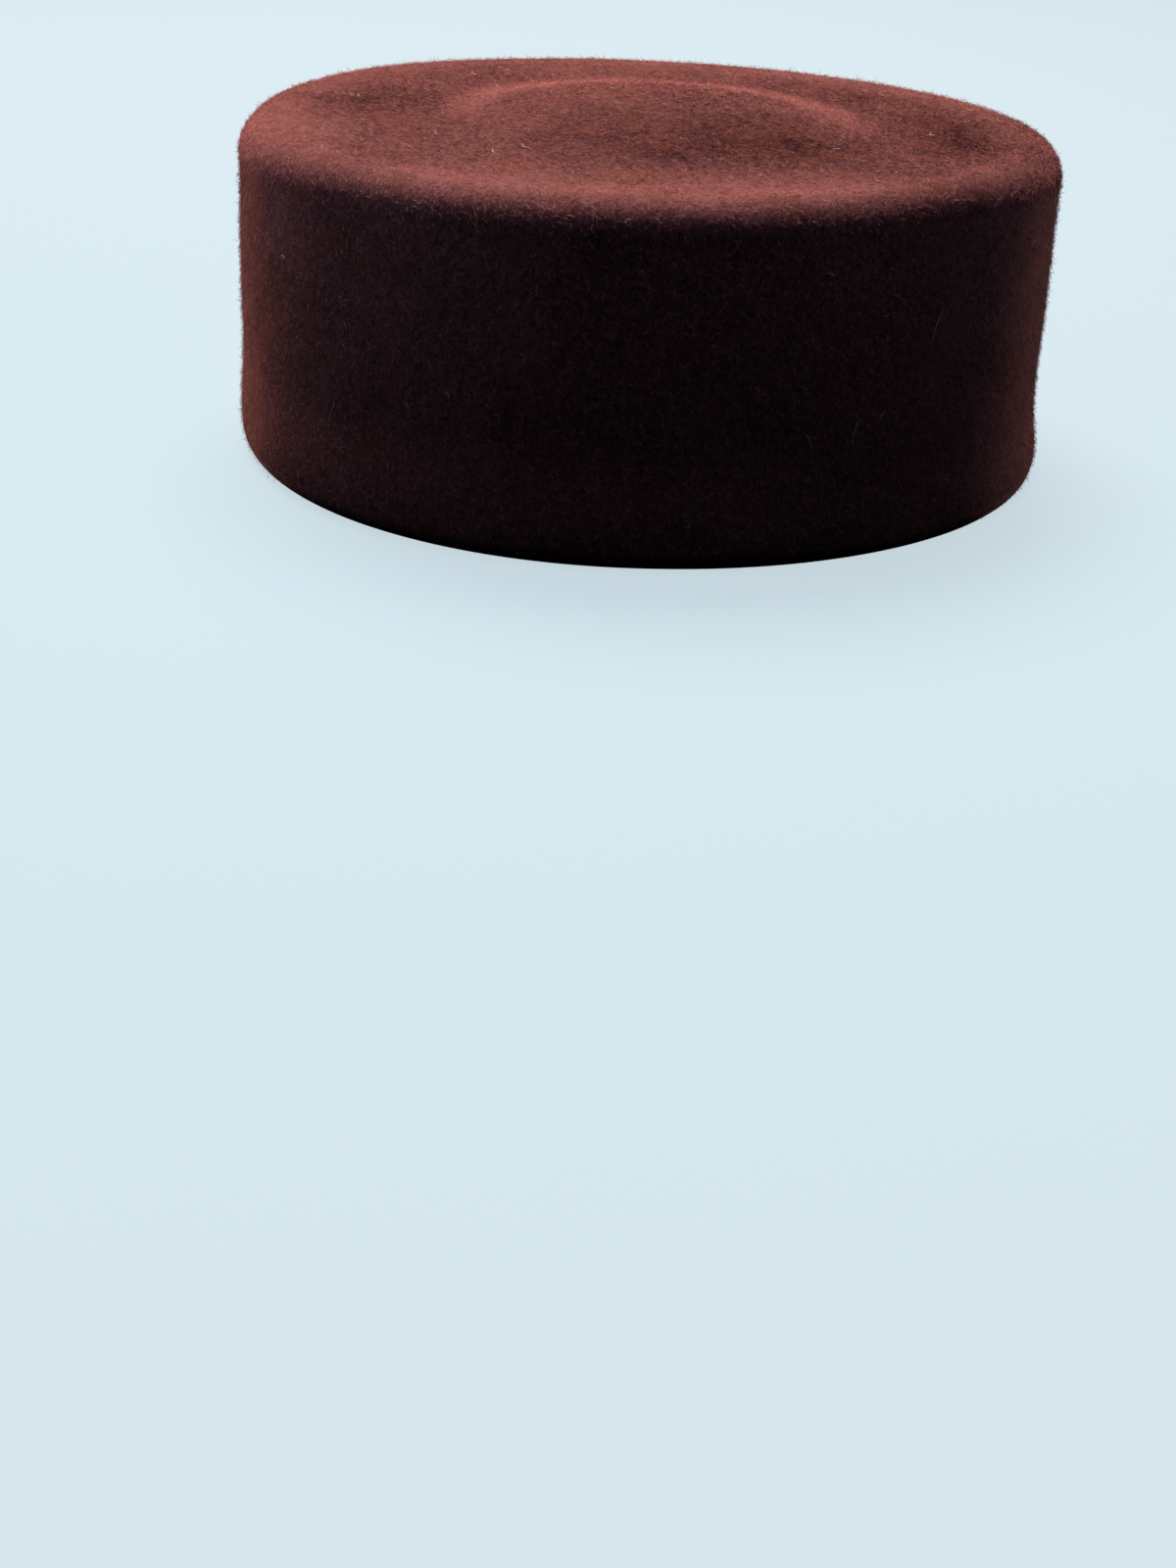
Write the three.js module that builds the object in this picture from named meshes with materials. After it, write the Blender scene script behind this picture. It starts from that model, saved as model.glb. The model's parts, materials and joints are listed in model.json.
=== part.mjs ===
// A felt pillbox hat: one blocked shell of felt that stands on its turned-in rim.
// Millimetres, +Z up. The wearer's front is towards -Y. The origin is the middle of the hat's outline, at the rim.

import * as THREE from "three";
import { mergeVertices } from "three/addons/utils/BufferGeometryUtils.js";

// The felt, and the head oval at the hat's widest line, just above the rim
const FELT_THICKNESS = 2.5;
const HALF_LENGTH = 101;
const HALF_WIDTH = 87;
const FRONT_FULLNESS = 0.045; // share of the half-width that the oval gains in front and loses behind

// The crown: its height to the crest of the rolled top edge, which is a little higher behind and leans to the front
const CREST_HEIGHT = 80;
const BACK_RISE = 1.1;
const FRONT_LEAN = 0.9;
const WALL_TOP_INSET = 2.8;

// The rolled top edge is rounder in front and behind than at the sides
const EDGE_RADIUS_SIDES = 5.5;
const EDGE_RADIUS_ENDS = 9;
const END_POWER = 6; // how closely the rounder edge keeps to the two ends

// The wall from the rim's lip up to the rolled edge: how far each section stands in from the widest line,
// and how much further out it stands at the back than in front
const WALL_SECTIONS = [
  { height: 5.5, inset: 0, backFlare: 1.2 },
  { height: 10, inset: 0.1, backFlare: 0.7 },
  { height: 16, inset: 0.6, backFlare: 0 },
  { height: 24, inset: 1.3, backFlare: 0 },
  { height: 37, inset: 1.65, backFlare: 0 },
  { height: 52, inset: 2.1, backFlare: 0 },
];

// The rim's lip turns in under the wall in a quarter round, and its underside is flat up to the cut edge
const LIP_TURN = 3.2;
const LIP_FLAT = 1.4;
const CUT_CORNER = 0.4;

// The tip sinks from the crest into a shallow ring, out of which a low round dome rises
const RING_DEPTH = 1;
const RING_REACH = 0.72; // share of the way from the middle to the crest at which the ring is deepest
const DOME_RADIUS = 54;
const DOME_HEIGHT = 4;
const DOME_FOOT = 0.8; // softness of the line where the dome meets the ring

// Soft dents in the tip: place, spread and depth. A rise is a negative depth.
const TIP_DENTS = [
  { x: 26, y: 26, spread: 15, depth: 0.7 },
  { x: 22, y: -14, spread: 14, depth: 0.5 },
  { x: -22, y: 2, spread: 12, depth: -0.4 },
  { x: 14, y: 72, spread: 12, depth: 0.7 },
];

// Fineness of the mesh
const STEPS_AROUND = 84;
const EDGE_STEPS = 6;
const LIP_STEPS = 5;
const TIP_SHARES = [0, 0.12, 0.24, 0.36, 0.46, 0.54, 0.61, 0.68, 0.75, 0.83, 0.91];

const FELT_BROWN = 0x6b3429;

// Height of the tip over the crest, at a place in plan and a share of the way from the middle to the crest
function tipRelief(x, y, share) {
  const rise = DOME_HEIGHT * (1 - (x * x + y * y) / DOME_RADIUS ** 2);
  const dome = (rise + Math.hypot(rise, DOME_FOOT)) / 2;
  const inward = Math.min(1, (1 - share) / (1 - RING_REACH));
  let relief = dome - RING_DEPTH * inward * (2 - inward);
  for (const dent of TIP_DENTS) {
    const distance = Math.hypot(x - dent.x, y - dent.y) / dent.spread;
    relief -= dent.depth * Math.exp(-distance * distance);
  }
  return relief;
}

// The lip of one face of the felt, from the flat underside up to the wall, a layer of felt or none inside the outer face
function lip(layer) {
  const { height: top, backFlare } = WALL_SECTIONS[0];
  const rows = [];
  for (let step = 0; step < LIP_STEPS; step += 1) {
    const turn = (step / LIP_STEPS) * (Math.PI / 2);
    rows.push({
      inset: LIP_TURN - (LIP_TURN - layer) * Math.sin(turn),
      height: top - (top - layer) * Math.cos(turn),
      backFlare,
    });
  }
  return rows;
}

// The cut edge of the lip, from its lower corner to its upper one
function cutEdge() {
  const { backFlare } = WALL_SECTIONS[0];
  const inner = LIP_TURN + LIP_FLAT;
  return [
    { inset: inner - CUT_CORNER, height: 0, backFlare },
    { inset: inner, height: CUT_CORNER, backFlare },
    { inset: inner, height: FELT_THICKNESS - CUT_CORNER, backFlare },
    { inset: inner - CUT_CORNER, height: FELT_THICKNESS, backFlare },
  ];
}

// The wall and the rolled edge of one face of the felt, from the lip to the crest. The edge's rows move in and down
// with its radius.
function wallAndEdge(layer) {
  const rows = WALL_SECTIONS.map((section) => ({ ...section, inset: section.inset + layer }));
  for (let step = 0; step <= EDGE_STEPS; step += 1) {
    const turn = (step / EDGE_STEPS) * (Math.PI / 2);
    rows.push({
      inset: WALL_TOP_INSET + layer * Math.cos(turn),
      height: CREST_HEIGHT - layer * Math.sin(turn),
      backFlare: 0,
      inByRadius: 1 - Math.cos(turn),
      downByRadius: 1 - Math.sin(turn),
    });
  }
  return rows;
}

// One face of the tip, from just inside the crest to the middle
function tip(layer) {
  const crest = { inset: WALL_TOP_INSET, height: CREST_HEIGHT - layer, backFlare: 0, inByRadius: 1 };
  return TIP_SHARES.map((share) => ({ ...crest, share })).reverse();
}

// A point of the head oval, set in square to its outline
function ovalPoint(angle, inset) {
  const across = Math.cos(angle);
  const along = Math.sin(angle);
  const widening = -HALF_WIDTH * (along + FRONT_FULLNESS * (across * across - along * along));
  const outward = new THREE.Vector2(HALF_LENGTH * across, -widening).normalize();
  const outline = new THREE.Vector2(HALF_WIDTH * across * (1 - FRONT_FULLNESS * along), HALF_LENGTH * along);
  return outline.addScaledVector(outward, -inset);
}

// A point of the shell: a row of the section at an angle about the hat's axis
function shellPoint({ inset, height, backFlare, inByRadius = 0, downByRadius = 0, share = 1 }, angle) {
  const along = Math.sin(angle);
  const radius = THREE.MathUtils.lerp(EDGE_RADIUS_SIDES, EDGE_RADIUS_ENDS, along ** END_POWER);
  const flare = backFlare * Math.max(0, along);
  const { x, y } = ovalPoint(angle, inset + radius * inByRadius - flare).multiplyScalar(share);
  const z = height - radius * downByRadius + (share < 1 ? tipRelief(x, y, share) : 0);
  const level = z / CREST_HEIGHT;
  return new THREE.Vector3(x, y - FRONT_LEAN * level, z + (BACK_RISE * level * y) / HALF_LENGTH);
}

// The whole shell. Its section runs from the middle of the tip inside, down the wall and round the lip, and back up
// the outside to the middle, and is turned about the hat's axis on the head oval.
function feltShell() {
  const inside = [...cutEdge(), ...lip(FELT_THICKNESS), ...wallAndEdge(FELT_THICKNESS), ...tip(FELT_THICKNESS)];
  const outside = [...lip(0), ...wallAndEdge(0), ...tip(0)];
  const section = [...inside.reverse(), ...outside];
  const profile = section.map(({ share = 1, height }) => new THREE.Vector2(share, height));
  const geometry = new THREE.LatheGeometry(profile, STEPS_AROUND);
  geometry.deleteAttribute("normal");
  geometry.deleteAttribute("uv");
  const position = geometry.getAttribute("position");
  for (let index = 0; index < position.count; index += 1) {
    const step = Math.floor(index / section.length) % STEPS_AROUND;
    const point = shellPoint(section[index % section.length], (step / STEPS_AROUND) * 2 * Math.PI);
    position.setXYZ(index, point.x, point.y, point.z);
  }
  const shell = mergeVertices(geometry);
  shell.computeBoundingBox();
  const middle = shell.boundingBox.getCenter(new THREE.Vector3());
  shell.translate(-middle.x, -middle.y, 0);
  shell.computeVertexNormals();
  return shell;
}

const felt = new THREE.MeshStandardMaterial({ color: FELT_BROWN, roughness: 0.95, metalness: 0 });
const crown = new THREE.Mesh(feltShell(), felt);
crown.name = "felt_crown";

const hat = new THREE.Group();
hat.add(crown);

export default hat;
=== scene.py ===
# A blocked felt pillbox hat with its brushed nap, standing on its turned-in rim on a pale floor.
# Metres, +Z up. The wearer's front is towards -Y.

import json
import math
from typing import NamedTuple

import bpy
import numpy as np
from bpy.props import FloatProperty, FloatVectorProperty, IntProperty, PointerProperty
from mathutils import Matrix, Vector, noise

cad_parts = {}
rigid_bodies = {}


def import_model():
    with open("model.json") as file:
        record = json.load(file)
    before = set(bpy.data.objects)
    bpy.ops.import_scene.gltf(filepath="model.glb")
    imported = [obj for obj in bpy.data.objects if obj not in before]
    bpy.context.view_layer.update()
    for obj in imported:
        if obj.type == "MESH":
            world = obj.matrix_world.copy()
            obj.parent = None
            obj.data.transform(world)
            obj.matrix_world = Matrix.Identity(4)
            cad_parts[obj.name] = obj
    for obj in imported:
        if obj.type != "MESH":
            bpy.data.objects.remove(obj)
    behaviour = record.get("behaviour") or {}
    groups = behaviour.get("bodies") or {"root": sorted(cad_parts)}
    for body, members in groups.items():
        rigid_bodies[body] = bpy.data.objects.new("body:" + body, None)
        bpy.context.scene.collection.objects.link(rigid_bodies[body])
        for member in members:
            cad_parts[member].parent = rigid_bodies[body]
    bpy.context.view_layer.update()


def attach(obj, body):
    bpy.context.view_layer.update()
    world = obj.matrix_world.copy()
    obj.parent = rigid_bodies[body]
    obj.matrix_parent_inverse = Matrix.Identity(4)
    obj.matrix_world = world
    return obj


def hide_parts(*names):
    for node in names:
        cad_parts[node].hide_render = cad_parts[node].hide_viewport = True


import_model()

bl_info = {
    "name": "Felt Pillbox Hat",
    "version": (1, 0, 0),
    "blender": (4, 5, 0),
    "location": "View3D > Sidebar > Hat",
    "description": "Makes a blocked felt pillbox hat with its nap, and a pale studio floor",
    "category": "Add Mesh",
}

BODY = "root"
NODE = "felt_crown"


class WallSection(NamedTuple):
    """One height of the wall, between the rim's lip and the rolled edge."""

    height: float
    inset: float  # how far it stands in from the hat's widest line
    back_flare: float  # how much further out it stands at the back than in front


WALL_SECTIONS = (
    WallSection(0.0055, 0.0, 0.0012),
    WallSection(0.010, 0.0001, 0.0007),
    WallSection(0.016, 0.0006, 0.0),
    WallSection(0.024, 0.0013, 0.0),
    WallSection(0.037, 0.00165, 0.0),
    WallSection(0.052, 0.0021, 0.0),
)


class Spot(NamedTuple):
    """A soft round spot of the tip."""

    x: float
    y: float
    spread: float
    depth: float


# Dents in the tip; a rise is a negative depth
TIP_DENTS = (
    Spot(0.026, 0.026, 0.015, 0.0007),
    Spot(0.022, -0.014, 0.014, 0.0005),
    Spot(-0.022, 0.002, 0.012, -0.0004),
    Spot(0.014, 0.072, 0.012, 0.0007),
)

# Patches of painted shade on the tip, which look darker. Where the depth is negative, the patch is a
# painted highlight and looks lighter.
SHADE_AND_HIGHLIGHT_PATCHES = (
    Spot(0.025, 0.024, 0.016, 0.46),
    Spot(0.026, -0.012, 0.016, 0.20),
    Spot(0.030, 0.006, 0.036, 0.14),
    Spot(0.044, 0.002, 0.013, 0.22),
    Spot(-0.004, 0.015, 0.014, 0.14),
    Spot(0.016, 0.072, 0.014, 0.14),
    Spot(0.020, 0.090, 0.030, 0.38),
    Spot(-0.010, 0.082, 0.018, 0.20),
    Spot(-0.016, 0.060, 0.024, 0.15),
    Spot(0.045, 0.070, 0.019, 0.24),
    Spot(0.066, 0.062, 0.015, 0.42),
    Spot(-0.045, 0.040, 0.020, 0.20),
    Spot(-0.015, -0.072, 0.024, 0.26),
    Spot(0.052, -0.066, 0.013, 0.24),
    Spot(-0.066, 0.004, 0.020, -0.10),
    Spot(-0.055, -0.052, 0.022, 0.10),
    Spot(0.072, -0.030, 0.020, -0.18),
    Spot(0.070, 0.010, 0.018, -0.20),
)

# Painted highlights along the crest and on the dome's right shoulder, and painted light from below along
# the lip
CREST_HIGHLIGHT = 0.36
CREST_HIGHLIGHT_WIDTH = 0.010
LIP_LIGHT = 0.4
SHOULDER_HIGHLIGHT = 1.0
SHOULDER_RADIUS = 0.046
SHOULDER_WIDTH = 0.0055
SHOULDER_START = 0.35  # how far left of the middle the painted highlight begins, as a share of the radius

# The oval's fullness in front, the crown's lean and rise, and the turn of the lip
FRONT_FULLNESS = 0.045
BACK_RISE = 0.0011
FRONT_LEAN = 0.0009
WALL_TOP_INSET = 0.0028
END_POWER = 6  # how closely the rounder edge keeps to the two ends
LIP_TURN = 0.0032
LIP_FLAT = 0.0014
CUT_CORNER = 0.0004
RING_REACH = 0.72
DOME_FOOT = 0.0008

# Fineness of the shell's mesh
STEPS_AROUND = 300
LIP_STEPS = 8
WALL_STEPS = 36
EDGE_STEPS = 12
TIP_STEPS = 44
LEAST_STEPS = 4
INNER_SHARE = 0.5  # the inside has this share of the outside's rows

# Zones of the shell, kept on its faces
INSIDE, UNDERSIDE, LIP, WALL, EDGE, TIP = range(6)
ZONE = "zone"

# What the felt and its fibres keep at each point: its painted highlight and shade, and how light and warm a
# fibre is
LIGHT_AND_SHADE = "tone"
SHADE = "shade"
WARMTH = "warmth"

# Hand-felted unevenness: wavelength and height of each swell
SWELLS = ((0.030, 0.00022), (0.011, 0.00010), (0.0045, 0.00005))


class Mottle(NamedTuple):
    """A cloudy pattern in the wool."""

    scale: float
    detail: float
    warp: float = 0.0


CLOUDS = Mottle(38.0, 3.0, 0.6)
WARM_PATCHES = Mottle(75.0, 2.0)
TUFTS = Mottle(620.0, 3.0, 1.2)
CLUMPS = Mottle(900.0, 1.0)
HAIRS = Mottle(1900.0, 2.0, 2.0)

# How much each pattern and the painted highlight and shade lighten the felt under the fibres, and how dark
# it starts
CLOUD_WEIGHT = 0.35
TUFT_WEIGHT = 0.6
HAIR_WEIGHT = 0.6
FELT_SHADING_WEIGHT = 0.35
DARKNESS = 0.51

# Where the warm patches begin and are fullest, and how warm they get
WARM_FROM = 0.46
WARM_TO = 0.66
WARM_MOST = 0.45

# The felt's fine relief and roughness
TUFT_RELIEF = 0.6
HAIR_RELIEF = 0.4
LEAST_ROUGHNESS = 0.84
TUFT_ROUGHNESS = 0.16

# The shortest and the longest fibre, as shares of a fibre's length
SHORTEST = 0.5
LONGEST = 1.4

# How light and how warm a fibre is: by chance, by its clump or patch, and by the painted highlight and
# shade
SHADE_CHANCE = 0.5
CLUMP_WEIGHT = 1.5
SHADE_START = 0.2
FIBRE_SHADING_WEIGHT = 1.5
WARMTH_CHANCE = 0.4

# Each chance has its own draw, and each growth its own seeds
LEAN_DRAW = 0.0
LENGTH_DRAW = 1.0
SHADE_DRAW = 2.0
SEEDS_APART = 10


class Choice(NamedTuple):
    """Which fibres are of one wool, by what they keep."""

    wool: str
    kept: str
    test: str
    limit: float


# Each choice goes over the ones before it, and the other fibres are of the middle wool
CHOICES = (
    Choice("Warm wool", WARMTH, "GREATER_THAN", 0.56),
    Choice("Dark wool", SHADE, "LESS_THAN", 0.4),
    Choice("Light wool", SHADE, "GREATER_THAN", 0.78),
)


class HatShape(bpy.types.PropertyGroup):
    """The sizes of the blocked shell."""

    half_length: FloatProperty(
        name="Half length", description="Middle to front at the widest line", default=0.101, unit="LENGTH"
    )
    half_width: FloatProperty(
        name="Half width", description="Middle to side at the widest line", default=0.087, unit="LENGTH"
    )
    crest: FloatProperty(
        name="Crest height", description="Rim to the crest of the rolled edge", default=0.080, unit="LENGTH"
    )
    edge_sides: FloatProperty(
        name="Edge at the sides", description="Radius of the rolled edge at the sides", default=0.0055,
        unit="LENGTH",
    )
    edge_ends: FloatProperty(
        name="Edge at the ends", description="Radius of the edge in front and behind", default=0.009,
        unit="LENGTH",
    )
    thickness: FloatProperty(
        name="Felt thickness", description="Thickness of the blocked felt", default=0.0025, unit="LENGTH"
    )
    dome_height: FloatProperty(
        name="Dome height", description="Rise of the tip's low dome", default=0.004, unit="LENGTH"
    )
    dome_radius: FloatProperty(
        name="Dome radius", description="Middle of the tip to the dome's foot", default=0.054, unit="LENGTH"
    )
    ring_depth: FloatProperty(
        name="Ring depth", description="Sinking of the tip inside its crest", default=0.001, unit="LENGTH"
    )


class HatFelt(bpy.types.PropertyGroup):
    """The colours and the nap of the felt."""

    mid: FloatVectorProperty(
        name="Felt", description="Main colour of the felt", default=(0.17, 0.0425, 0.0352), subtype="COLOR"
    )
    dark: FloatVectorProperty(
        name="Dark wool", description="Darkest wool in the felt", default=(0.035, 0.0083, 0.0075),
        subtype="COLOR",
    )
    light: FloatVectorProperty(
        name="Light wool", description="Lightest wool in the felt", default=(0.62, 0.208, 0.168),
        subtype="COLOR",
    )
    warm: FloatVectorProperty(
        name="Warm wool", description="Wool of the warmer patches", default=(0.20, 0.0555, 0.0345),
        subtype="COLOR",
    )
    lint: FloatVectorProperty(
        name="Lint", description="Colour of the pale stray hairs", default=(0.90, 0.68, 0.58),
        subtype="COLOR",
    )
    nap_length: FloatProperty(
        name="Nap length", description="Length of a lying fibre", default=0.0018, unit="LENGTH"
    )
    fuzz_length: FloatProperty(
        name="Fuzz length", description="Length of a standing fibre", default=0.0009, unit="LENGTH"
    )
    stray_length: FloatProperty(
        name="Stray length", description="Length of a hair that stands out of the fuzz", default=0.0014,
        unit="LENGTH",
    )
    lint_length: FloatProperty(
        name="Lint length", description="Length of a pale curled hair", default=0.0019, unit="LENGTH"
    )
    long_length: FloatProperty(
        name="Long hair length", description="Length of a long pale hair", default=0.008, unit="LENGTH"
    )
    seed: IntProperty(name="Seed", description="Scatter of the fibres", default=11)


class HatStage(bpy.types.PropertyGroup):
    """The floor, the lights and the camera."""

    floor: FloatVectorProperty(
        name="Floor", description="Colour of the floor", default=(0.74, 0.87, 0.93), subtype="COLOR"
    )
    lens: FloatProperty(name="Lens", description="Focal length", default=42.75, unit="CAMERA")
    camera_place: FloatVectorProperty(
        name="Camera", description="Where the camera stands", default=(0.464194, -0.034046, 0.167782),
        subtype="TRANSLATION",
    )
    camera_aim: FloatVectorProperty(
        name="Aim", description="Direction that the camera looks in", default=(-0.86084, 0.04786, -0.50663),
        subtype="DIRECTION",
    )
    camera_roll: FloatProperty(
        name="Roll", description="Turn of the picture", default=math.radians(3.131), subtype="ANGLE"
    )


# Shape of the shell

class Rows(NamedTuple):
    """Rows of the shell's section, each an array with one value per row."""

    inset: np.ndarray
    height: np.ndarray
    zone: np.ndarray
    flare: np.ndarray
    in_by_radius: np.ndarray  # how far a row moves in with the rolled edge's radius
    down_by_radius: np.ndarray
    share: np.ndarray  # share of the way from the middle of the tip to its crest


def rows(inset, height, zone, flare=0.0, in_by_radius=0.0, down_by_radius=0.0, share=1.0):
    """Rows of the section, with single values spread over all of them."""
    columns = (np.atleast_1d(inset), height, zone, flare, in_by_radius, down_by_radius, share)
    return Rows(*(np.array(column) for column in np.broadcast_arrays(*columns)))


def stack(parts):
    """Several runs of rows, one after the other."""
    return Rows(*(np.concatenate(column) for column in zip(*parts)))


def smooth_through(stations, values, at):
    """A smooth curve through a short table, level at both of its ends."""
    slopes = np.gradient(values, stations)
    slopes[[0, -1]] = 0.0
    left = np.clip(np.searchsorted(stations, at, side="right") - 1, 0, len(stations) - 2)
    span = stations[left + 1] - stations[left]
    t = (at - stations[left]) / span
    rise = values[left + 1] - values[left]
    ease = 3 * t**2 - 2 * t**3
    lead = span * (t**3 - 2 * t**2 + t) * slopes[left]
    tail = span * (t**3 - t**2) * slopes[left + 1]
    return values[left] + rise * ease + lead + tail


def face_rows(shape, layer, share_of_steps):
    """One face of the felt, from the flat underside of the lip to the middle of the tip."""
    def count(steps):
        return max(LEAST_STEPS, round(steps * share_of_steps))

    base = WALL_SECTIONS[0]
    last = WALL_SECTIONS[-1].height
    turn = np.linspace(0, math.pi / 2, count(LIP_STEPS), endpoint=False)
    lip_inset = LIP_TURN - (LIP_TURN - layer) * np.sin(turn)
    lip_height = base.height - (base.height - layer) * np.cos(turn)
    stations = np.array([section.height for section in WALL_SECTIONS] + [shape.crest])
    insets = np.array([section.inset for section in WALL_SECTIONS] + [WALL_TOP_INSET])
    flares = np.array([section.back_flare for section in WALL_SECTIONS] + [0.0])
    height = np.linspace(base.height, shape.crest, count(WALL_STEPS), endpoint=False)
    squeeze = np.clip((height - last) / (shape.crest - last), 0, 1)
    roll = np.linspace(0, math.pi / 2, count(EDGE_STEPS), endpoint=False)
    share = np.linspace(1, 0, count(TIP_STEPS))
    lip_zone = np.where(turn < math.pi / 4, UNDERSIDE, LIP) if layer == 0 else INSIDE
    wall_zone, edge_zone, tip_zone = (WALL, EDGE, TIP) if layer == 0 else (INSIDE,) * 3
    return stack([
        rows(lip_inset, lip_height, lip_zone, flare=base.back_flare),
        rows(smooth_through(stations, insets, height) + layer, height, wall_zone,
             flare=smooth_through(stations, flares, height), down_by_radius=squeeze),
        rows(WALL_TOP_INSET + layer * np.cos(roll), shape.crest - layer * np.sin(roll), edge_zone,
             in_by_radius=1 - np.cos(roll), down_by_radius=1 - np.sin(roll)),
        rows(WALL_TOP_INSET, shape.crest - layer, tip_zone, in_by_radius=1.0, share=share),
    ])


def cut_edge_rows(shape):
    """The cut edge of the lip, from its upper corner down to its lower one."""
    inner = LIP_TURN + LIP_FLAT
    inset = np.array([inner - CUT_CORNER, inner, inner, inner - CUT_CORNER])
    height = np.array([shape.thickness, shape.thickness - CUT_CORNER, CUT_CORNER, 0.0])
    return rows(inset, height, UNDERSIDE, flare=WALL_SECTIONS[0].back_flare)


def tip_relief(shape, x, y, share):
    """Height of the tip over its crest."""
    rise = shape.dome_height * (1 - (x**2 + y**2) / shape.dome_radius**2)
    dome = (rise + np.hypot(rise, DOME_FOOT)) / 2
    inward = np.clip((1 - share) / (1 - RING_REACH), 0, 1)
    relief = dome - shape.ring_depth * inward * (2 - inward)
    for dent in TIP_DENTS:
        relief = relief - dent.depth * np.exp(-((x - dent.x) ** 2 + (y - dent.y) ** 2) / dent.spread**2)
    return np.where(share < 1, relief, 0.0)


def oval(shape, angle, inset):
    """Points of the head oval, set in square to its outline."""
    across = np.cos(angle)
    along = np.sin(angle)
    out_x = shape.half_length * across
    out_y = shape.half_width * (along + FRONT_FULLNESS * (across**2 - along**2))
    length = np.hypot(out_x, out_y)
    x = shape.half_width * across * (1 - FRONT_FULLNESS * along) - inset * out_x / length
    y = shape.half_length * along - inset * out_y / length
    return x, y


def shell_points(shape, section, angle):
    """The shell's points, one line of them for each row of its section."""
    along = np.sin(angle)
    radius = shape.edge_sides + (shape.edge_ends - shape.edge_sides) * along**END_POWER
    section = Rows(*(column[:, None] for column in section))
    flare = section.flare * np.maximum(0, along)
    x, y = oval(shape, angle, section.inset + radius * section.in_by_radius - flare)
    x = x * section.share
    y = y * section.share
    z = section.height - radius * section.down_by_radius + tip_relief(shape, x, y, section.share)
    level = z / shape.crest
    z = z + BACK_RISE * level * y / shape.half_length
    y = y - FRONT_LEAN * level
    y = y - (y.min() + y.max()) / 2
    return np.stack([x, y, z], axis=-1)


def shell_painted_shading(points, section, shape):
    """Painted highlight and shade over the shell: painted highlights along the crest and the dome's right
    shoulder, painted light along the lip, and painted shade and highlights in patches of the tip.
    """
    x, y, z = np.moveaxis(points, -1, 0)
    zone = section.zone[:, None]
    reach = (shape.half_width + shape.half_length) / 2
    off_crest = np.where(zone == TIP, (section.share[:, None] - 1) * reach, shape.crest - z)
    # Painted highlight along the crest, and painted light from below along the lip
    tone = CREST_HIGHLIGHT * np.exp(-((off_crest / CREST_HIGHLIGHT_WIDTH) ** 2)) * (zone >= EDGE)
    tone = tone + LIP_LIGHT * (zone == LIP)
    # Painted highlight along the dome's right shoulder
    off_shoulder = (np.hypot(x, y) - SHOULDER_RADIUS) / SHOULDER_WIDTH
    right_side = np.clip(SHOULDER_START - x / SHOULDER_RADIUS, 0, 1)
    tone = tone + SHOULDER_HIGHLIGHT * np.exp(-(off_shoulder**2)) * right_side * (zone == TIP)
    # Painted shade and highlights in patches of the tip
    for patch in SHADE_AND_HIGHLIGHT_PATCHES:
        in_patch = np.exp(-((x - patch.x) ** 2 + (y - patch.y) ** 2) / patch.spread**2)
        tone = tone - patch.depth * in_patch * (zone >= EDGE)
    return tone


def shell_mesh(shape):
    """The closed shell of felt, with its poles at the middle of the tip and its zones on the faces."""
    inside = face_rows(shape, shape.thickness, INNER_SHARE)
    inside = Rows(*(column[::-1] for column in inside))
    section = stack([inside, cut_edge_rows(shape), face_rows(shape, 0.0, 1.0)])
    angle = np.arange(STEPS_AROUND) * 2 * math.pi / STEPS_AROUND
    points = shell_points(shape, section, angle)
    count = len(section.share)
    ring = np.arange(STEPS_AROUND)
    after = (ring + 1) % STEPS_AROUND
    first = 1 + (np.arange(count - 2) * STEPS_AROUND)
    last = 1 + (count - 2) * STEPS_AROUND
    vertices = np.concatenate([points[0, :1], points[1:-1].reshape(-1, 3), points[-1, :1]])
    # The painted highlight and shade, kept at each point
    tone = shell_painted_shading(points, section, shape)
    painted_shadings = np.concatenate([tone[0, :1], tone[1:-1].ravel(), tone[-1, :1]])
    faces = [(0, first[0] + b, first[0] + a) for a, b in zip(ring, after)]
    zones = [INSIDE] * STEPS_AROUND
    for row in range(count - 3):
        low, high = first[row], first[row + 1]
        faces += [(low + a, low + b, high + b, high + a) for a, b in zip(ring, after)]
        zones += [int(section.zone[row + 1])] * STEPS_AROUND
    faces += [(first[-1] + a, first[-1] + b, last) for a, b in zip(ring, after)]
    zones += [TIP] * STEPS_AROUND
    mesh = bpy.data.meshes.new(NODE)
    mesh.from_pydata(vertices.tolist(), [], [tuple(int(i) for i in face) for face in faces])
    mesh.attributes.new(ZONE, "INT", "FACE").data.foreach_set("value", zones)
    mesh.attributes.new(LIGHT_AND_SHADE, "FLOAT", "POINT").data.foreach_set("value", painted_shadings)
    mesh.shade_smooth()
    mesh.update()
    swell(mesh)
    return mesh


def swell(mesh):
    """Makes the outside a little uneven, as hand-blocked felt is, and leaves the lip and the inside."""
    outside = set()
    for face, zone in zip(mesh.polygons, mesh.attributes[ZONE].data):
        if zone.value in (WALL, EDGE, TIP):
            outside.update(face.vertices)
    for face, zone in zip(mesh.polygons, mesh.attributes[ZONE].data):
        if zone.value in (INSIDE, UNDERSIDE, LIP):
            outside.difference_update(face.vertices)
    moves = {}
    for index in outside:
        vertex = mesh.vertices[index]
        height = sum(amount * noise.noise(vertex.co / wave) for wave, amount in SWELLS)
        moves[index] = vertex.normal * height
    for index, move in moves.items():
        mesh.vertices[index].co += move
    mesh.update()


# Node graphs

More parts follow.
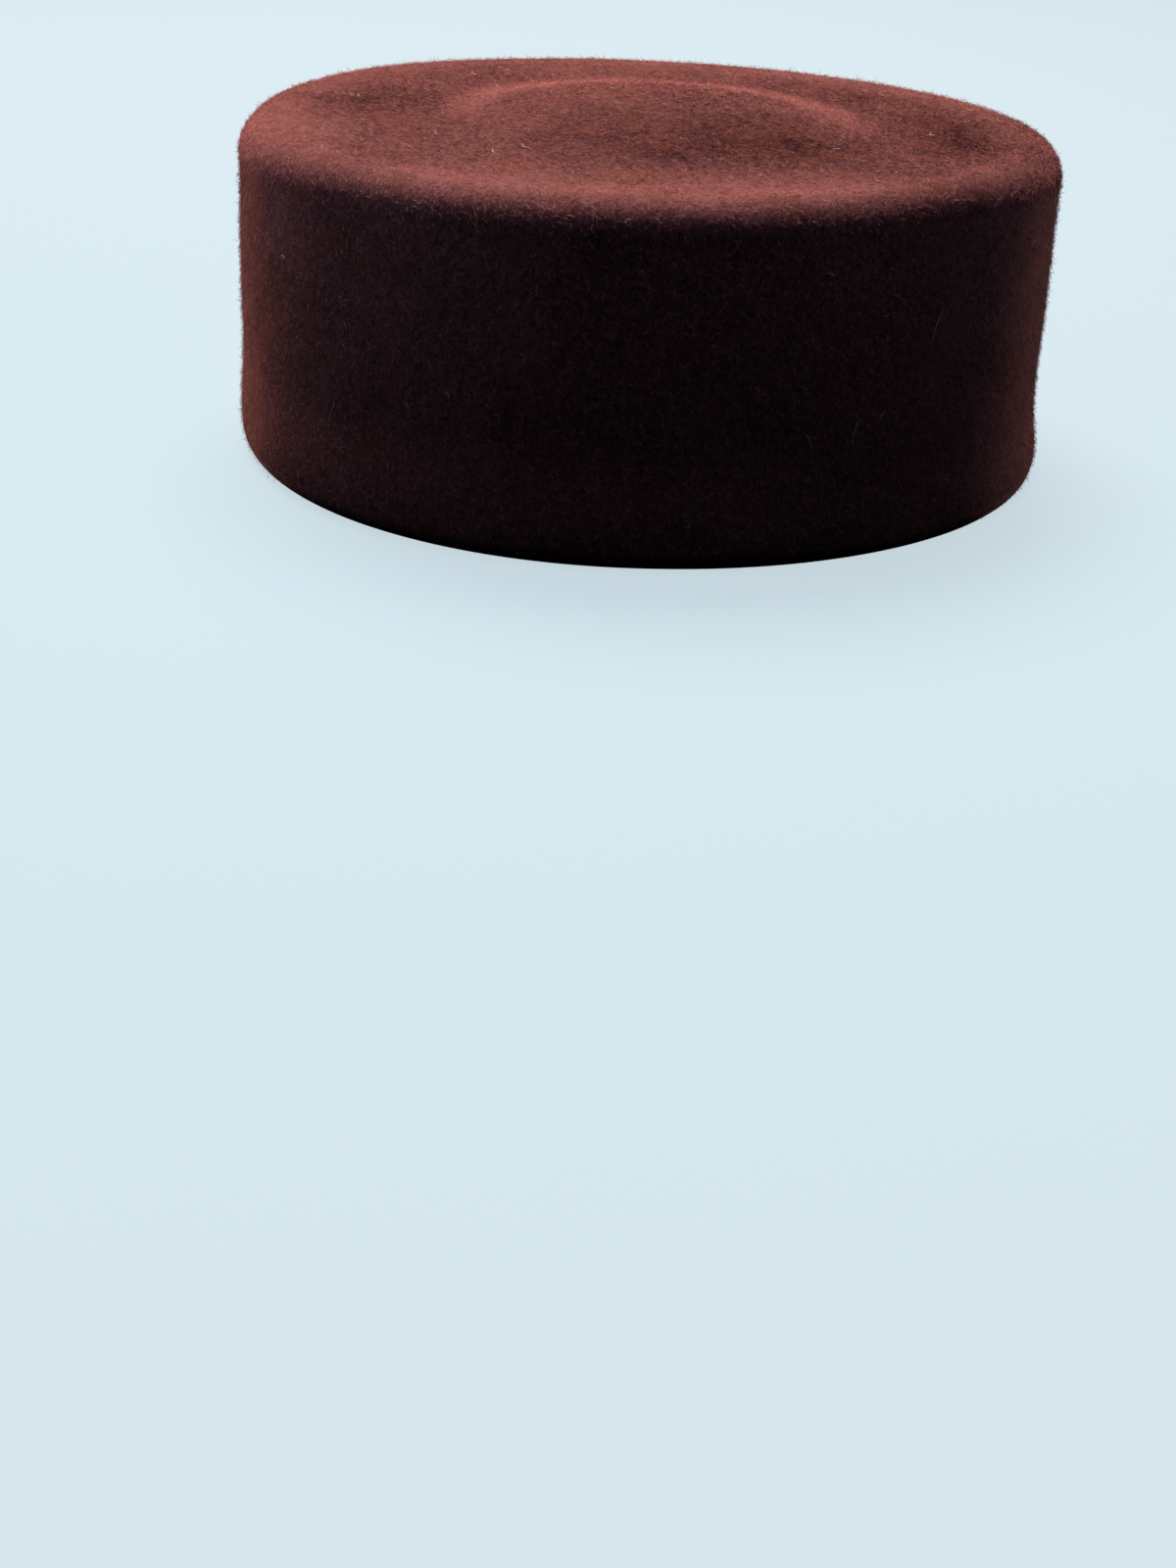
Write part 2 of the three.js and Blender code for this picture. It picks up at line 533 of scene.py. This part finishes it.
class Value:
    """An output socket whose sums, differences and products add nodes."""

    def __init__(self, graph, socket):
        self.graph = graph
        self.socket = socket

    def sibling(self, name):
        """Another output of the same node."""
        return Value(self.graph, self.graph.socket(self.socket.node.outputs, name))

    def math(self, operation, *terms):
        return self.graph.add("ShaderNodeMath", {"operation": operation}, dict(enumerate(terms)))

    def __add__(self, other):
        return self.math("ADD", self, other)

    def __radd__(self, other):
        return self.math("ADD", other, self)

    def __sub__(self, other):
        return self.math("SUBTRACT", self, other)

    def __rsub__(self, other):
        return self.math("SUBTRACT", other, self)

    def __mul__(self, other):
        return self.math("MULTIPLY", self, other)

    def __rmul__(self, other):
        return self.math("MULTIPLY", other, self)


class Graph:
    """Adds nodes to a tree."""

    def __init__(self, tree):
        self.tree = tree

    def socket(self, sockets, key):
        """A socket by its place, or the one in use that has this name."""
        if isinstance(key, int):
            return sockets[key]
        return next(socket for socket in sockets if socket.name == key and socket.enabled)

    def add(self, kind, settings, inputs, output=0):
        """A node of this kind, with its settings, then its sockets' values or links; gives one output."""
        node = self.tree.nodes.new(kind)
        for name, value in settings.items():
            setattr(node, name, value)
        for key, value in inputs.items():
            socket = self.socket(node.inputs, key)
            if isinstance(value, Value):
                self.tree.links.new(value.socket, socket)
            else:
                socket.default_value = value
        if not node.outputs:
            return None
        return Value(self, self.socket(node.outputs, output))


def felt_shader(name, settings):
    """A matte woolly surface: a new material, its graph and its shader."""
    material = bpy.data.materials.new(name)
    material.use_nodes = True
    shader = material.node_tree.nodes["Principled BSDF"]
    for socket, value in settings.items():
        shader.inputs[socket].default_value = value
    return material, Graph(material.node_tree), shader


def opaque(colour):
    """A colour that lets nothing through."""
    return (*colour, 1.0)


def mottling(graph, pattern, place):
    """A cloudy pattern over these places."""
    return graph.add("ShaderNodeTexNoise", {}, {
        "Vector": place, "Scale": pattern.scale, "Detail": pattern.detail, "Distortion": pattern.warp,
    })


def felt_material(felt):
    """Blocked wool felt: mottled browns, a fibrous bump and a soft sheen."""
    material, graph, shader = felt_shader("wool_felt", {
        "Specular IOR Level": 0.0,
        "Sheen Weight": 0.15,
        "Sheen Roughness": 0.45,
        "Sheen Tint": opaque((0.85, 0.32, 0.27)),
    })
    place = graph.add("ShaderNodeTexCoord", {}, {}, "Object")
    clouds = mottling(graph, CLOUDS, place)
    patches = mottling(graph, WARM_PATCHES, place)
    tufts = mottling(graph, TUFTS, place)
    hairs = mottling(graph, HAIRS, place)
    # The painted highlight and shade lighten and darken the felt's browns
    tone = graph.add("ShaderNodeAttribute", {"attribute_name": LIGHT_AND_SHADE}, {}, "Fac")
    mottled = clouds * CLOUD_WEIGHT + tufts * TUFT_WEIGHT + hairs * HAIR_WEIGHT
    shade = mottled + tone * FELT_SHADING_WEIGHT - DARKNESS
    brown = graph.add(
        "ShaderNodeMix", {"data_type": "RGBA"},
        {"Factor": shade, "A": opaque(felt.dark), "B": opaque(felt.light)}, "Result",
    )
    warm_spots = graph.add(
        "ShaderNodeMapRange", {"interpolation_type": "SMOOTHSTEP"},
        {"Value": patches, "From Min": WARM_FROM, "From Max": WARM_TO, "To Max": WARM_MOST},
    )
    brown = graph.add(
        "ShaderNodeMix", {"data_type": "RGBA"},
        {"Factor": warm_spots, "A": brown, "B": opaque(felt.warm)}, "Result",
    )
    relief = tufts * TUFT_RELIEF + hairs * HAIR_RELIEF
    bump = graph.add("ShaderNodeBump", {}, {"Strength": 0.8, "Distance": 0.0008, "Height": relief})
    rough = LEAST_ROUGHNESS + tufts * TUFT_ROUGHNESS
    for name, value in (("Base Color", brown), ("Roughness", rough), ("Normal", bump)):
        graph.tree.links.new(value.socket, shader.inputs[name])
    return material


def fibre_material(name, colour):
    """Wool of one shade."""
    material, _, _ = felt_shader(name, {
        "Base Color": opaque(colour),
        "Roughness": 0.85,
        "Specular IOR Level": 0.04,
    })
    return material


# Pieces

def put(name, mesh):
    """A new object of this mesh, at the origin."""
    piece = bpy.data.objects.new(name, mesh)
    bpy.context.scene.collection.objects.link(piece)
    return piece


def fibre_mesh(fibre):
    """A fibre one metre long along +Z: a closed spindle with a ring at each bend."""
    points = [(0.0, 0.0, 0.0)]
    for height, x, y in fibre.bends:
        for side in range(FIBRE_SIDES):
            turn = side * 2 * math.pi / FIBRE_SIDES
            points.append((x + fibre.width * math.cos(turn), y + fibre.width * math.sin(turn), height))
    points.append((0.0, 0.0, 1.0))
    top = len(points) - 1
    last_ring = top - FIBRE_SIDES
    sides = [(side, (side + 1) % FIBRE_SIDES) for side in range(FIBRE_SIDES)]
    faces = [(0, 1 + after, 1 + side) for side, after in sides]
    for low in range(1, last_ring, FIBRE_SIDES):
        high = low + FIBRE_SIDES
        faces += [(low + side, low + after, high + after, high + side) for side, after in sides]
    faces += [(last_ring + side, last_ring + after, top) for side, after in sides]
    mesh = bpy.data.meshes.new("fibre")
    mesh.from_pydata(points, [], faces)
    mesh.update()
    return mesh


def kept(graph, name, kind="FLOAT"):
    """What is kept under this name at each point or face."""
    return graph.add("GeometryNodeInputNamedAttribute", {"data_type": kind}, {"Name": name}, "Attribute")


def nap_tree():
    """Scatters fibres over the faces of one zone, leaning out of the felt, in four shades of wool."""
    tree = bpy.data.node_groups.new("felt_nap", "GeometryNodeTree")
    tree.is_modifier = True
    inputs = (
        ("Felt", "NodeSocketGeometry"), ("Fibre", "NodeSocketObject"), ("Zone", "NodeSocketInt"),
        ("Density", "NodeSocketFloat"), ("Length", "NodeSocketFloat"), ("Least lean", "NodeSocketFloat"),
        ("Most lean", "NodeSocketFloat"), ("Turn", "NodeSocketFloat"), ("Seed", "NodeSocketInt"),
        ("Mid wool", "NodeSocketMaterial"), ("Dark wool", "NodeSocketMaterial"),
        ("Light wool", "NodeSocketMaterial"), ("Warm wool", "NodeSocketMaterial"),
    )
    for name, kind in inputs:
        tree.interface.new_socket(name=name, in_out="INPUT", socket_type=kind)
    tree.interface.new_socket(name="Nap", in_out="OUTPUT", socket_type="NodeSocketGeometry")
    graph = Graph(tree)
    entry = graph.add("NodeGroupInput", {}, {})
    given = {name: entry.sibling(name) for name, _ in inputs}

    def drawn(kind, low, high, draw):
        return graph.add("FunctionNodeRandomValue", {"data_type": kind},
                         {"Min": low, "Max": high, "Seed": given["Seed"] + draw}, "Value")

    here = graph.add("FunctionNodeCompare", {"data_type": "INT", "operation": "EQUAL"},
                     {"A": kept(graph, ZONE, "INT"), "B": given["Zone"]})
    points = graph.add("GeometryNodeDistributePointsOnFaces", {}, {
        "Mesh": given["Felt"], "Selection": here, "Density": given["Density"], "Seed": given["Seed"],
    }, "Points")
    least = graph.add("ShaderNodeCombineXYZ", {}, {"X": given["Least lean"], "Z": 0.0 - given["Turn"]})
    most = graph.add("ShaderNodeCombineXYZ", {}, {"X": given["Most lean"], "Z": given["Turn"]})
    lean = drawn("FLOAT_VECTOR", least, most, LEAN_DRAW)
    turn = graph.add("FunctionNodeEulerToRotation", {}, {"Euler": lean})
    stance = graph.add("FunctionNodeRotateRotation", {"rotation_space": "LOCAL"},
                       {"Rotation": points.sibling("Rotation"), "Rotate By": turn})
    length = drawn("FLOAT", SHORTEST, LONGEST, LENGTH_DRAW) * given["Length"]
    chance = drawn("FLOAT", -SHADE_CHANCE, SHADE_CHANCE, SHADE_DRAW)
    place = graph.add("GeometryNodeInputPosition", {}, {})
    shade = chance + mottling(graph, CLUMPS, place) * CLUMP_WEIGHT + SHADE_START
    # The painted highlight and shade also lighten and darken the fibres
    shade = shade + kept(graph, LIGHT_AND_SHADE) * FIBRE_SHADING_WEIGHT
    warmth = chance * WARMTH_CHANCE + mottling(graph, WARM_PATCHES, place)
    for name, value in ((SHADE, shade), (WARMTH, warmth)):
        points = graph.add("GeometryNodeStoreNamedAttribute", {"data_type": "FLOAT", "domain": "POINT"},
                           {"Geometry": points, "Name": name, "Value": value})
    fibre = graph.add("GeometryNodeObjectInfo", {}, {"Object": given["Fibre"]}, "Geometry")
    fibres = graph.add("GeometryNodeInstanceOnPoints", {},
                       {"Points": points, "Instance": fibre, "Rotation": stance, "Scale": length})
    nap = graph.add("GeometryNodeRealizeInstances", {}, {"Geometry": fibres})
    nap = graph.add("GeometryNodeSetMaterial", {}, {"Geometry": nap, "Material": given["Mid wool"]})
    for choice in CHOICES:
        chosen = graph.add("FunctionNodeCompare", {"data_type": "FLOAT", "operation": choice.test},
                           {"A": kept(graph, choice.kept), "B": choice.limit})
        nap = graph.add("GeometryNodeSetMaterial", {},
                        {"Geometry": nap, "Selection": chosen, "Material": given[choice.wool]})
    graph.add("NodeGroupOutput", {}, {"Nap": nap})
    return tree


def settle(piece):
    """Turns what the piece's modifiers make into its plain mesh."""
    depsgraph = bpy.context.evaluated_depsgraph_get()
    mesh = bpy.data.meshes.new_from_object(piece.evaluated_get(depsgraph))
    piece.modifiers.clear()
    piece.data = mesh
    for name in (SHADE, WARMTH, ZONE, LIGHT_AND_SHADE):
        if name in mesh.attributes:
            mesh.attributes.remove(mesh.attributes[name])


def grow(name, felt_mesh, tree, settings):
    """A piece of fibres grown on the felt by a tree with these settings."""
    piece = put(name, felt_mesh.copy())
    modifier = piece.modifiers.new("nap", "NODES")
    modifier.node_group = tree
    for item in tree.interface.items_tree:
        if item.name in settings:
            modifier[item.identifier] = settings[item.name]
    settle(piece)
    piece.data.name = name
    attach(piece, BODY)


class HAT_OT_felt_crown(bpy.types.Operator):
    """Makes the blocked felt shell in place of its plain solid"""

    bl_idname = "hat.felt_crown"
    bl_label = "Felt crown"

    def execute(self, context):
        piece = put("felt_shell", shell_mesh(context.scene.hat_shape))
        piece.data.materials.append(felt_material(context.scene.hat_felt))
        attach(piece, BODY)
        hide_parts(NODE)
        return {"FINISHED"}


class Fibre(NamedTuple):
    """One kind of fibre a unit long: its (height, x, y) bends and its half width."""

    bends: tuple
    width: float


FIBRE_SIDES = 3

FIBRES = {
    "lying": Fibre(((0.5, 0.13, 0.0),), 0.020),
    "standing": Fibre(((0.5, 0.16, 0.0),), 0.035),
    "curled": Fibre(
        ((0.18, 0.12, 0.05), (0.38, 0.22, -0.04), (0.58, 0.20, -0.16), (0.8, 0.08, -0.12)), 0.026
    ),
    "stray": Fibre(((0.35, 0.10, 0.03), (0.7, 0.06, -0.08)), 0.026),
    "long": Fibre(((0.3, 0.05, 0.04), (0.65, -0.03, 0.02)), 0.006),
}


class Growth(NamedTuple):
    """One growth of fibres: their kind, how many a square metre has, and their lean and turn in degrees."""

    name: str
    zone: int
    fibre: str
    density: float
    least_lean: float
    most_lean: float
    turn: float = 180  # on the wall, to either side of straight down


GROWTHS = (
    Growth("nap_tip", TIP, "lying", 1.45e6, 70, 88),
    Growth("nap_edge", EDGE, "lying", 2.2e6, 70, 88),
    Growth("nap_wall", WALL, "lying", 0.74e6, 64, 87, 65),
    Growth("fuzz_tip", TIP, "standing", 0.65e6, 25, 75),
    Growth("fuzz_edge", EDGE, "standing", 0.8e6, 25, 75),
    Growth("fuzz_wall", WALL, "standing", 0.8e6, 10, 70),
    Growth("fuzz_lip", LIP, "standing", 1.2e6, 30, 75),
    Growth("nap_inside", INSIDE, "lying", 0.08e6, 60, 85),
    Growth("stray_tip", TIP, "stray", 4.0e4, 10, 65),
    Growth("stray_edge", EDGE, "stray", 1.5e5, 5, 60),
    Growth("stray_wall", WALL, "stray", 8.0e4, 5, 65),
    Growth("stray_lip", LIP, "stray", 8.0e4, 20, 70),
    Growth("lint_tip", TIP, "curled", 3.0e3, 45, 78),
    Growth("lint_edge", EDGE, "curled", 3.0e3, 35, 75),
    Growth("lint_wall", WALL, "curled", 0.5e3, 35, 75),
    Growth("long_wall", WALL, "long", 0.4e3, 72, 84, 40),
)

# The kinds of fibre that are pale
PALE = ("curled", "long")


class HAT_OT_nap(bpy.types.Operator):
    """Grows the brushed nap, the standing fuzz and a little pale lint out of the felt"""

    bl_idname = "hat.nap"
    bl_label = "Nap and fuzz"

    def execute(self, context):
        felt = context.scene.hat_felt
        tree = nap_tree()
        shell = bpy.data.objects["felt_shell"].data
        shapes = {name: put(f"{name}_fibre", fibre_mesh(fibre)) for name, fibre in FIBRES.items()}
        lengths = {
            "lying": felt.nap_length, "standing": felt.fuzz_length, "stray": felt.stray_length,
            "curled": felt.lint_length, "long": felt.long_length,
        }
        wool = {
            "Mid wool": fibre_material("wool_mid", felt.mid),
            "Dark wool": fibre_material("wool_dark", felt.dark),
            "Light wool": fibre_material("wool_light", felt.light),
            "Warm wool": fibre_material("wool_warm", felt.warm),
        }
        lint = dict.fromkeys(wool, fibre_material("lint", felt.lint))
        for place, growth in enumerate(GROWTHS):
            grow(growth.name, shell, tree, {
                "Fibre": shapes[growth.fibre],
                "Zone": growth.zone,
                "Density": growth.density,
                "Length": lengths[growth.fibre],
                "Least lean": math.radians(growth.least_lean),
                "Most lean": math.radians(growth.most_lean),
                "Turn": math.radians(growth.turn),
                "Seed": felt.seed + SEEDS_APART * place,
                **(lint if growth.fibre in PALE else wool),
            })
        for shape in shapes.values():
            bpy.data.objects.remove(shape)
        return {"FINISHED"}


# Stage

class Lamp(NamedTuple):
    """A soft panel of light."""

    name: str
    place: tuple
    width: float
    height: float
    power: float
    colour: tuple
    hat_alone: bool = False  # lights the hat and leaves the floor


LIGHT_AIM = (0.0, 0.0, 0.05)
FLOOR_REACH = 4.0
FLOOR_GLOW = 0.75
FLOOR_SHADE = 0.15  # how much of its colour the floor shows by the lamps' light
NEAREST_SEEN = 0.01

LAMPS = (
    Lamp("panel_above", (-0.59, -0.20, 1.53), 1.2, 0.9, 41.5, (1.0, 0.99, 0.95)),
    Lamp("strip_left", (-1.20, -1.35, 0.045), 0.3, 0.08, 7.5, (0.65, 0.88, 1.0), hat_alone=True),
    Lamp("strip_left_behind", (-1.45, -1.08, 0.045), 0.3, 0.08, 31.0, (1.0, 0.84, 0.64), hat_alone=True),
    Lamp("strip_right", (-1.22, 1.33, 0.045), 0.3, 0.08, 23.0, (0.78, 0.88, 0.95), hat_alone=True),
    Lamp("fill_left", (0.105, -0.17, 0.25), 0.12, 0.12, 0.18, (0.38, 0.6, 1.0)),
    Lamp("fill_right", (0.105, 0.14, 0.25), 0.12, 0.12, 0.105, (0.38, 0.6, 1.0)),
)


def add_light(lamp, hat):
    """A soft panel that faces the hat and isn't seen itself."""
    panel = bpy.data.lights.new(lamp.name, "AREA")
    panel.shape = "RECTANGLE"
    panel.size = lamp.width
    panel.size_y = lamp.height
    panel.energy = lamp.power
    panel.color = lamp.colour
    light = bpy.data.objects.new(lamp.name, panel)
    light.location = lamp.place
    light.rotation_euler = (Vector(LIGHT_AIM) - light.location).to_track_quat("-Z", "Y").to_euler()
    light.visible_camera = False
    if lamp.hat_alone:
        light.light_linking.receiver_collection = hat
    bpy.context.scene.collection.objects.link(light)


def add_floor(stage):
    """An even pale floor that takes a soft shadow and throws no light on the hat."""
    corners = [(x * FLOOR_REACH, y * FLOOR_REACH, 0.0) for x, y in ((-1, -1), (1, -1), (1, 1), (-1, 1))]
    mesh = bpy.data.meshes.new("floor")
    mesh.from_pydata(corners, [], [(0, 1, 2, 3)])
    floor = put("floor", mesh)
    material = bpy.data.materials.new("pale_floor")
    material.use_nodes = True
    paint = material.node_tree.nodes["Principled BSDF"].inputs
    paint["Base Color"].default_value = opaque(Vector(stage.floor) * FLOOR_SHADE)
    paint["Emission Color"].default_value = opaque(stage.floor)
    paint["Emission Strength"].default_value = FLOOR_GLOW
    paint["Roughness"].default_value = 0.9
    paint["Specular IOR Level"].default_value = 0.0
    mesh.materials.append(material)
    floor.visible_diffuse = False
    floor.visible_glossy = False


def add_backdrop(scene, stage):
    """A backdrop of the floor's colour that throws no light on the hat."""
    world = bpy.data.worlds.new("studio")
    world.use_nodes = True
    backdrop = world.node_tree.nodes["Background"].inputs
    backdrop["Color"].default_value = opaque(stage.floor)
    backdrop["Strength"].default_value = FLOOR_GLOW
    world.cycles_visibility.diffuse = False
    world.cycles_visibility.glossy = False
    scene.world = world


def add_camera(scene, stage):
    """The camera, which looks down on the hat from its left."""
    lens = bpy.data.cameras.new("camera")
    lens.lens = stage.lens
    lens.clip_start = NEAREST_SEEN
    camera = bpy.data.objects.new("camera", lens)
    turn = Vector(stage.camera_aim).to_track_quat("-Z", "Y").to_matrix()
    turn = turn @ Matrix.Rotation(stage.camera_roll, 3, "Z")
    camera.matrix_world = Matrix.Translation(stage.camera_place) @ turn.to_4x4()
    scene.collection.objects.link(camera)
    scene.camera = camera


class HAT_OT_stage(bpy.types.Operator):
    """Sets the pale floor, the soft lights and the camera"""

    bl_idname = "hat.stage"
    bl_label = "Stage"

    def execute(self, context):
        scene = context.scene
        hat = bpy.data.collections.new("hat")
        for piece in scene.objects:
            hat.objects.link(piece)
        add_floor(scene.hat_stage)
        for lamp in LAMPS:
            add_light(lamp, hat)
        add_backdrop(scene, scene.hat_stage)
        scene.view_settings.view_transform = "Standard"
        add_camera(scene, scene.hat_stage)
        return {"FINISHED"}


class HAT_PT_sidebar(bpy.types.Panel):
    """Lists the hat's sizes, colours and stage, and the buttons that make its pieces"""

    bl_idname = "HAT_PT_sidebar"
    bl_label = "Felt pillbox hat"
    bl_space_type = "VIEW_3D"
    bl_region_type = "UI"
    bl_category = "Hat"

    def draw(self, context):
        for group in (context.scene.hat_shape, context.scene.hat_felt, context.scene.hat_stage):
            box = self.layout.box()
            for name in group.__annotations__:
                box.prop(group, name)
        for operator in OPERATORS:
            self.layout.operator(operator.bl_idname)


OPERATORS = (HAT_OT_felt_crown, HAT_OT_nap, HAT_OT_stage)
CLASSES = (HatShape, HatFelt, HatStage, *OPERATORS, HAT_PT_sidebar)


def register():
    for made in CLASSES:
        bpy.utils.register_class(made)
    bpy.types.Scene.hat_shape = PointerProperty(type=HatShape)
    bpy.types.Scene.hat_felt = PointerProperty(type=HatFelt)
    bpy.types.Scene.hat_stage = PointerProperty(type=HatStage)


def unregister():
    del bpy.types.Scene.hat_stage
    del bpy.types.Scene.hat_felt
    del bpy.types.Scene.hat_shape
    for made in reversed(CLASSES):
        bpy.utils.unregister_class(made)


def main():
    register()
    bpy.ops.hat.felt_crown()
    bpy.ops.hat.nap()
    bpy.ops.hat.stage()


if __name__ == "__main__":
    main()
